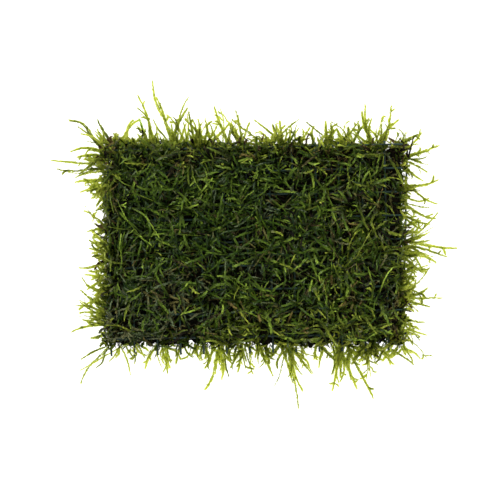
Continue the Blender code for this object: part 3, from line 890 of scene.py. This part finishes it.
def short_fringe(rng):
    """Short fronds all along the four sides, from within the felt."""
    fronds = Fronds()
    for _, _, along, outward, per_metre, *_ in SIDES:
        length, step, out, middle_of_side = side_frame(along, outward)
        count = int(per_metre * length)
        tuft_count = int(FRINGE_TUFTS_PER_METRE * length)
        weight = rng.exponential(1.0, tuft_count)
        tuft = rng.choice(tuft_count, count, p=weight / weight.sum())
        place = (rng.uniform(-0.5, 0.5, tuft_count) * length)[tuft]
        slant = rng.normal(0, 0.7, tuft_count)[tuft]
        place = np.clip(place + rng.normal(0, 0.0030, count), -0.5 * length, 0.5 * length)
        reach = rng.lognormal(math.log(SHORT_FRINGE_REACH), 0.65, count)
        reach = np.clip(reach, 0.0008, 0.013)
        depth = rng.uniform(0.001, 0.006, count)
        slant = (slant + rng.normal(0, 0.5, count)) * (reach + depth)
        root = middle_of_side + step * place[:, None] - out * depth[:, None]
        root[:, 2] = rng.uniform(0.0028, 0.0060, count)
        tip = middle_of_side + step * (place + slant)[:, None] + out * reach[:, None]
        tip[:, 2] = np.clip(root[:, 2] + rng.normal(0.0008, 0.0022, count), 0.0008, 0.012)
        middle = (root + tip) / 2 + step * rng.normal(0, 0.0012, count)[:, None]
        middle[:, 2] += rng.uniform(-0.0005, 0.002, count)
        tones = fringe_tones(rng, count)
        old = rng.random(count) < 0.05 + 0.60 * nearness(OLD_PATCHES, *root[:, :2].T)
        old &= reach < 0.005
        tones = np.where(old, rng.normal(TONE_TAN - 0.03, 0.05, count), tones)
        fronds.add((root, middle, tip), (0.8, 1.5), tones, rng, swaying=0.03)
    return fronds


def scattered(kind, rng, bending=0.35, pressed=False):
    """The x, y and routes of scattered fronds. Pressed ones have their arch's height, no rise."""
    count, inset, *ranges = kind
    x, y = body_places(rng, count, inset)
    angle = rng.uniform(0, 2 * np.pi, count)
    reach, tip_z, rise, root_z = (rng.uniform(*limits, count) for limits in ranges)
    top_z = rise if pressed else tip_z + rise
    return x, y, arched(x, y, angle, reach, root_z, tip_z, top_z, rng, bending)


def fillers(rng):
    """Short thin dark fronds low between the tufts."""
    x, y, routes = scattered(FILLERS, rng)
    routes = held_in(routes, rng, looseness=0.4)
    tones = pick_tones(x, y, rng)
    # Bright tones are pulled down towards dark: partly older moss low in the mat and partly painted
    # shade between the tufts.
    tones = np.where(tones > TONE_DARK, TONE_DARK + 0.3 * (tones - TONE_DARK), tones)
    return Fronds().add(routes, (0.55, 0.9), tones, rng)


def old_fronds(rng):
    """Old dark fronds that lie in and just above the felt."""
    x, _, routes = scattered(OLD_FRONDS, rng)
    routes = held_in(routes, rng, looseness=0.3)
    tones = np.clip(rng.normal(0.20, 0.12, len(x)), 0.03, 0.46)
    return Fronds().add(routes, (0.6, 0.95), tones, rng, swaying=0.06)


def bare_stems(rng):
    """Thin leafless brown stems through the felt, the cells and the edges, and the lone ones."""
    x, _, routes = scattered(BARE_STEMS, rng, bending=0.7)
    routes = held_in(routes, rng, looseness=0.3, allowance=-0.0012)
    tones = np.clip(rng.normal(0.10, 0.05, len(x)), 0.02, 0.24)
    fronds = Fronds().add(routes, (0.5, 1.0), tones, rng, swaying=0.06)
    lone = [
        np.column_stack([places, np.full(len(places), height)])
        for places, height in zip(bowed(LONE_STEMS), LONE_STEM_HEIGHTS)
    ]
    thickness = np.array(LONE_STEMS)[:, 5]
    return fronds.add(lone, thickness, TONE_BLACK, rng, swaying=0.0)


def underside_fronds(rng):
    """Fronds pressed flat under the back sheet."""
    x, y, routes = scattered(UNDERSIDE, rng, pressed=True)
    widths = rng.uniform(0.6, 0.95, len(x))
    return Fronds().add(routes, widths, pick_tones(x, y, rng), rng, swaying=0.03)


# The felt


def make_felt(material, columns=130, rows=90):
    """The felt of old moss between the sheets, near black partly as painted shade: a lumpy slab
    with a ragged outline.
    """
    left, right, bottom, top = FELT_EDGES.values()
    across_share, up_share = np.meshgrid(np.linspace(0, 1, columns), np.linspace(0, 1, rows))
    x = left + (right - left) * across_share
    y = bottom + (top - bottom) * up_share
    coarse, fine, edge = ripples(11, 0.007), ripples(12, 0.0025, 9), ripples(13, 0.006)
    raggedness = np.where(up_share < 0.5, 0.0015, 0.0008)
    x = x - 0.0010 * (1 + edge(x * 0, y)) * (2 * across_share - 1) ** 9
    y = y - raggedness * (1 + edge(x, y * 0)) * (2 * up_share - 1) ** 9
    y = y + top_rise(x) * up_share**9
    rim = np.minimum.reduce([x - left, right - x, y - bottom, top - y])
    half = (FELT_TOP - FELT_UNDERSIDE) / 2 * smoothstep(-0.0015, 0.0030, rim)
    middle = (FELT_TOP + FELT_UNDERSIDE) / 2
    bumps = 0.00035 * coarse(x, y) + 0.00022 * fine(x, y)
    high = middle + half + bumps - 0.0002
    low = middle - half + np.minimum(bumps, 0.0002) + 0.0003
    high = np.maximum(high, low + 0.0001)
    layers = [np.column_stack([x.ravel(), y.ravel(), z.ravel()]) for z in (high, low)]
    index = np.arange(rows * columns).reshape(rows, columns)
    faces = quads(index[:-1, :-1], index[:-1, 1:], index[1:, 1:], index[1:, :-1])
    border = np.concatenate([index[0, :], index[1:, -1], index[-1, -2::-1], index[-2:0:-1, 0]])
    after, down = np.roll(border, -1), rows * columns
    walls = quads(border, border + down, after + down, after)
    points = np.concatenate(layers) + np.array(BODY_CENTRE)
    triangles = np.concatenate([faces, faces[:, ::-1] + down, walls])
    make_piece("moss_felt", "moss_mat", "moss", material, points, triangles)


# The wires


def wire_parts(starts, ends, seed, sides=8, segments=14):
    """Round wires with slightly uneven coats and rounded-off cut ends."""
    rng = np.random.default_rng(seed)
    shares = np.concatenate([[0, 0.0012], np.linspace(0.004, 0.996, segments), [0.9988, 1]])
    rounding = np.where((shares == 0) | (shares == 1), CUT_END_SHARE, 1.0)[:, None]
    way = unit(ends - starts)[:, None]
    side = unit(np.cross(way, [0, 0, 1.0]))
    places = starts[:, None] + (ends - starts)[:, None] * shares[:, None]
    each = (len(starts), len(shares), 1)
    places = places + rng.normal(0, WIRE_SWAY, each) * side
    radius = COAT_RADIUS * rounding * (1 + rng.normal(0, COAT_UNEVENNESS, each))
    points, triangles, index = tubes(places, side, np.cross(side, way), radius, sides)
    caps = []
    for ring, order in ((index[:, 0], 1), (index[:, -1], -1)):
        for corner in range(1, sides - 1):
            caps.append(ring[:, [0, corner, corner + 1]][:, ::order])
    return points, np.concatenate([triangles[:, ::-1], *caps])


def weld_parts(places, rings=4, sides=8):
    """Low blobs of coat where wires cross."""
    polar = np.linspace(0, np.pi, rings + 2)[1:-1, None]
    around = np.arange(sides) * 2 * np.pi / sides
    ball = np.broadcast_arrays(
        np.sin(polar) * np.cos(around), np.sin(polar) * np.sin(around), np.cos(polar)
    )
    ball = np.concatenate([[[0, 0, 1]], np.stack(ball, -1).reshape(-1, 3), [[0, 0, -1]]])
    points = (places[:, None] + ball * WELD_RADII).reshape(-1, 3)
    index = 1 + np.arange(rings * sides).reshape(rings, sides)
    after = np.roll(index, -1, axis=1)
    top = np.zeros(sides, dtype=int)
    faces = [
        np.column_stack([top, index[0], after[0]]),
        quads(index[:-1], index[1:], after[1:], after[:-1]),
        np.column_stack([index[-1], top + len(ball) - 1, after[-1]]),
    ]
    starts = len(ball) * np.arange(len(places))[:, None, None]
    return points, (np.concatenate(faces) + starts).reshape(-1, 3)


def make_wires(name, node, sheet, material, seed):
    middle, edges = sheet["centre"], sheet["edges"]
    column_height = sheet["underside"] + WIRE_THICKNESS / 2
    row_height = column_height + WIRE_THICKNESS - WELD_DEPTH
    columns = spaced(sheet["columns"], COLUMN_PITCH)
    rows = spaced(sheet["rows"], ROW_PITCH)
    starts, ends = (
        on_sheet(
            sheet,
            [(x, edges[column_end] - middle.y, column_height) for x in columns]
            + [(edges[row_end] - middle.x, y, row_height) for y in rows],
        )
        for column_end, row_end in (("bottom", "left"), ("top", "right"))
    )
    crossings = [(x, y, (column_height + row_height) / 2) for x in columns for y in rows]
    parts = [wire_parts(starts, ends, seed), weld_parts(on_sheet(sheet, crossings))]
    make_piece(name, node, "coated_wire", material, *joined(parts))


# Materials


def feed(tree, node, inputs):
    """Gives each of these inputs of a node its value, or a link from the socket given for it."""
    for socket, source in inputs.items():
        if isinstance(source, bpy.types.NodeSocket):
            tree.links.new(source, node.inputs[socket])
        else:
            node.inputs[socket].default_value = source


def add_node(tree, kind, inputs, **settings):
    node = tree.nodes.new(kind)
    for name, value in settings.items():
        setattr(node, name, value)
    feed(tree, node, inputs)
    return node


def new_material(name):
    """A new material, its node tree and its shader."""
    material = bpy.data.materials.new(name)
    material.use_nodes = True
    return material, material.node_tree, material.node_tree.nodes["Principled BSDF"]


def ramp(tree, source, stops):
    """Colours from a ramp with these (place, colour) stops; a number stands for a grey."""
    node = add_node(tree, "ShaderNodeValToRGB", {0: source})
    elements = node.color_ramp.elements
    while len(elements) > 1:
        elements.remove(elements[-1])
    for index, (place, colour) in enumerate(stops):
        colour = (colour, colour, colour) if isinstance(colour, float) else colour
        element = elements[0] if index == 0 else elements.new(place)
        element.position = place
        element.color = (*colour, 1.0)
    return node.outputs[0]


def maths(tree, operation, *values):
    inputs = dict(enumerate(values))
    return add_node(tree, "ShaderNodeMath", inputs, operation=operation).outputs[0]


def multiply(tree, first, second):
    """The product of two colours."""
    inputs = {0: 1.0, 6: first, 7: second}
    mixed = add_node(tree, "ShaderNodeMix", inputs, data_type="RGBA", blend_type="MULTIPLY")
    return mixed.outputs[2]


def noise(tree, vector, scale, detail, dimensions="3D", roughness=0.5):
    inputs = {"Vector": vector, "Scale": scale, "Detail": detail, "Roughness": roughness}
    node = add_node(tree, "ShaderNodeTexNoise", inputs, noise_dimensions=dimensions)
    return node.outputs[0]


def frond_material(name, painted_light_and_shade, see_through, gleam):
    """Leafy moss.

    The map's first axis is the frond's tone. Its second runs root to tip, in the lower half for
    cool greens and in the upper half for warm ones. Living fronds are a little fresher at the tip.
    A ramp along each frond then adds painted shade and painted light from root to tip.
    """
    material, tree, shader = new_material(name)
    place = add_node(tree, "ShaderNodeUVMap", {}, uv_map="OFBake").outputs["UV"]
    split = add_node(tree, "ShaderNodeSeparateXYZ", {0: place})
    tone, height = split.outputs["X"], split.outputs["Y"]
    along = maths(tree, "FRACT", maths(tree, "MULTIPLY", height, 2.0))
    warm = maths(tree, "GREATER_THAN", height, 0.5)
    green = maths(tree, "GREATER_THAN", tone, LIVING_TONES)
    ageing = maths(tree, "MULTIPLY", maths(tree, "MULTIPLY_ADD", along, 0.08, -0.04), green)
    colour = ramp(tree, maths(tree, "ADD", tone, ageing), TONE_COLOURS)
    inputs = {0: place, 1: (170.0, 34.0, 0.0)}
    stretched = add_node(tree, "ShaderNodeVectorMath", inputs, operation="MULTIPLY").outputs[0]
    mottles = noise(tree, stretched, 1.0, 2.0, "2D")
    mottled = [(0.28, (0.58, 0.62, 0.74)), (0.50, 1.0), (0.74, (1.38, 1.30, 1.12))]
    # Painted light and shade along each frond: this ramp darkens or lightens its colour from root
    # to tip.
    colour = multiply(tree, colour, ramp(tree, along, painted_light_and_shade))
    colour = multiply(tree, colour, ramp(tree, mottles, mottled))
    colour = multiply(tree, colour, ramp(tree, warm, [(0.0, COOL_TINT), (1.0, WARM_TINT)]))
    wet = [(0.0, 0.80), (0.30, 0.60), (0.50, 0.32), (0.9, 0.32), (1.0, 0.40)]
    roughness = ramp(tree, tone, wet)
    inputs = {"Base Color": colour, "Roughness": roughness, "Specular IOR Level": gleam}
    feed(tree, shader, inputs)
    glow = add_node(tree, "ShaderNodeBsdfTranslucent", {"Color": colour})
    inputs = {0: see_through, 1: shader.outputs[0], 2: glow.outputs[0]}
    both = add_node(tree, "ShaderNodeMixShader", inputs)
    feed(tree, tree.nodes["Material Output"], {"Surface": both.outputs[0]})
    return material


def felt_material():
    material, tree, shader = new_material("moss_felt")
    where = add_node(tree, "ShaderNodeTexCoord", {}).outputs["Object"]
    patches = noise(tree, where, 420.0, 8.0, roughness=0.7)
    # Near black: partly the old moss's own colour and partly painted shade between the fronds, deep
    # in the mat.
    colours = [
        (0.30, (0.001, 0.001, 0.001)),
        (0.50, (0.004, 0.004, 0.002)),
        (0.60, (0.012, 0.008, 0.004)),
        (0.75, (0.009, 0.013, 0.003)),
    ]
    bump = add_node(
        tree, "ShaderNodeBump", {"Strength": 0.8, "Distance": 0.0005, "Height": patches}
    )
    feed(tree, shader, {"Base Color": ramp(tree, patches, colours), "Normal": bump.outputs[0]})
    feed(tree, shader, {"Roughness": 0.9, "Specular IOR Level": 0.1})
    return material


def wire_material():
    material, tree, shader = new_material("green_coat")
    where = add_node(tree, "ShaderNodeTexCoord", {}).outputs["Object"]
    dirt = noise(tree, where, 260.0, 5.0)
    colours = [
        (0.35, (0.005, 0.012, 0.010)),
        (0.50, (0.011, 0.038, 0.033)),
        (0.70, (0.024, 0.066, 0.055)),
    ]
    rough = ramp(tree, dirt, [(0.3, 0.30), (0.7, 0.50)])
    feed(tree, shader, {"Base Color": ramp(tree, dirt, colours), "Roughness": rough})
    return material


# The studio


def make_floor():
    """A white floor that glows a little, as a light table does."""
    bpy.ops.mesh.primitive_plane_add(size=6.0, location=(0, 0, 0))
    floor = bpy.context.object
    floor.name = "floor"
    material, tree, shader = new_material("floor")
    feed(tree, shader, {"Base Color": (0.50, 0.50, 0.50, 1), "Emission Color": (1, 1, 1, 1)})
    feed(tree, shader, {"Roughness": 0.9, "Specular IOR Level": 0.1, "Emission Strength": 1.15})
    floor.data.materials.append(material)


def add_area_light(name, place, size, power):
    light = bpy.data.lights.new(name, "AREA")
    light.size = size
    light.energy = power
    light.color = (1.0, 0.98, 0.90)
    lamp = bpy.data.objects.new(name, light)
    lamp.location = place
    lamp.rotation_mode = "QUATERNION"
    lamp.rotation_quaternion = (-Vector(place)).to_track_quat("-Z", "Y")
    bpy.context.scene.collection.objects.link(lamp)


def make_world():
    """Bright at the horizon and dimmer overhead, so that gaps in the moss are dark."""
    world = bpy.data.worlds.new("studio")
    world.use_nodes = True
    tree = world.node_tree
    way = add_node(tree, "ShaderNodeTexCoord", {}).outputs["Generated"]
    height = add_node(tree, "ShaderNodeSeparateXYZ", {0: way}).outputs["Z"]
    stops = [
        (0.00, (1.00, 0.99, 0.92)),
        (0.15, (0.85, 0.84, 0.76)),
        (0.45, (0.34, 0.34, 0.29)),
        (1.00, (0.22, 0.22, 0.18)),
    ]
    sky = ramp(tree, height, stops)
    feed(tree, tree.nodes["Background"], {"Color": sky, "Strength": 1.0})
    bpy.context.scene.world = world


def make_studio():
    make_floor()
    make_world()
    add_area_light("key", (-0.7, 0.8, 0.95), 0.5, 15.0)
    add_area_light("fill", (0.6, -0.3, 1.0), 0.9, 4.0)
    bpy.context.scene.view_settings.view_transform = "Standard"


def make_camera():
    """Looks straight down on the mat, as the photograph does, from a little under a metre."""
    data = bpy.data.cameras.new("camera")
    data.sensor_width = SENSOR_WIDTH
    seen = PHOTO_SIZE * PHOTO_MM_PER_PIXEL * MM
    mat_height = FRONT_SHEET["underside"]
    data.lens = SENSOR_WIDTH * (CAMERA_HEIGHT - mat_height) / seen
    camera = bpy.data.objects.new("camera", data)
    right = (PHOTO_SIZE / 2 - BODY_CENTRE_PIXEL[0]) * PHOTO_MM_PER_PIXEL * MM
    down = (PHOTO_SIZE / 2 - BODY_CENTRE_PIXEL[1]) * PHOTO_MM_PER_PIXEL * MM
    camera.location = (BODY_CENTRE.x + right, BODY_CENTRE.y - down, CAMERA_HEIGHT)
    bpy.context.scene.collection.objects.link(camera)
    bpy.context.scene.camera = camera


def main():
    make_camera()
    make_studio()
    leaf = frond_material(
        "moss_leaf",
        # Painted shade at the root, deep in the mat, and painted light towards the tip, where
        # fresher growth is also lighter.
        [(0.0, 0.08), (0.35, 0.48), (0.75, 1.10), (0.95, 1.32), (1.0, 1.15)],
        see_through=0.15,
        gleam=0.22,
    )
    backlit = frond_material(
        "moss_leaf_backlit",
        # Painted light: these stops above 1 lighten the fronds over the border, most at the root,
        # as if lit through from behind.
        [(0.0, (1.22, 1.18, 1.55)), (0.5, (1.20, 1.12, 1.75)), (1.0, (1.15, 1.08, 1.65))],
        see_through=0.84,
        gleam=0.20,
    )
    felt, coat = felt_material(), wire_material()
    make_wires("front_mesh_wires", "wire_mesh_front", FRONT_SHEET, coat, 1)
    make_wires("back_mesh_wires", "wire_mesh_back", BACK_SHEET, coat, 2)
    make_felt(felt)
    rng = np.random.default_rng(SEED)
    lawn = parted(lawn_fronds(rng), rng)
    order = np.argsort(lawn.arrays()[0][:, 0])
    for number, third in enumerate(np.array_split(order, 3), start=1):
        make_fronds(f"moss_lawn_{number}", leaf, lawn.chosen(third))
    make_fronds("moss_runners", leaf, runners(rng))
    make_fronds("moss_fillers", leaf, parted(fillers(rng), rng))
    make_fronds("moss_edge_fronds", backlit, edge_fronds(rng), FRINGE_FORM)
    make_fronds("moss_fringe", backlit, fringe_fronds(rng), FRINGE_FORM)
    make_fronds("moss_short_fringe", backlit, short_fringe(rng), FRINGE_FORM)
    make_fronds("moss_old_fronds", leaf, parted(old_fronds(rng), rng))
    make_fronds("moss_underside", leaf, underside_fronds(rng))
    make_fronds("moss_bare_stems", leaf, bare_stems(rng), leaves=False)


main()
